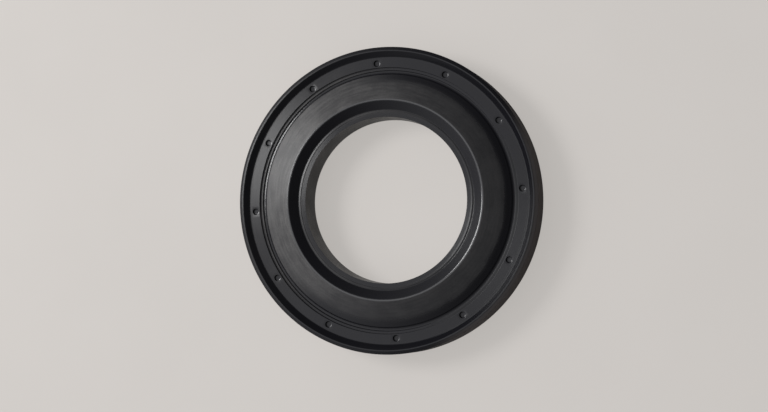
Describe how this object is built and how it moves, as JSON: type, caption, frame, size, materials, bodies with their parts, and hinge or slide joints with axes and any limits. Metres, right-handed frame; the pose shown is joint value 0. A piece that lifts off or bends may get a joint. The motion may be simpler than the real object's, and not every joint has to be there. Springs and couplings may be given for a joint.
{
  "type": "radial shaft seal",
  "caption": "Rubber-covered radial shaft seal with a stepped steel case, a spring-loaded main lip and a dust lip, for sealing a rotating shaft in a housing bore.",
  "frame": {"origin": "on the axis, in the plane of the oil-side face that the seal rests on", "axes": "Z along the seal's axis, from the oil side to the air side; X through the centre of one mould-pin dimple"},
  "size_m": [0.145, 0.145, 0.02],
  "materials": {
    "body_rubber": "black moulded nitrile rubber, satin, with a thin dusty bloom",
    "case_steel": "pressed steel sheet with a dull grey phosphate coat",
    "spring_steel": "drawn spring wire, lightly oiled"
  },
  "bodies": {
    "root": {"seal_body": "body_rubber", "stiffening_case": "case_steel", "garter_spring": "spring_steel"}
  },
  "joints": []
}
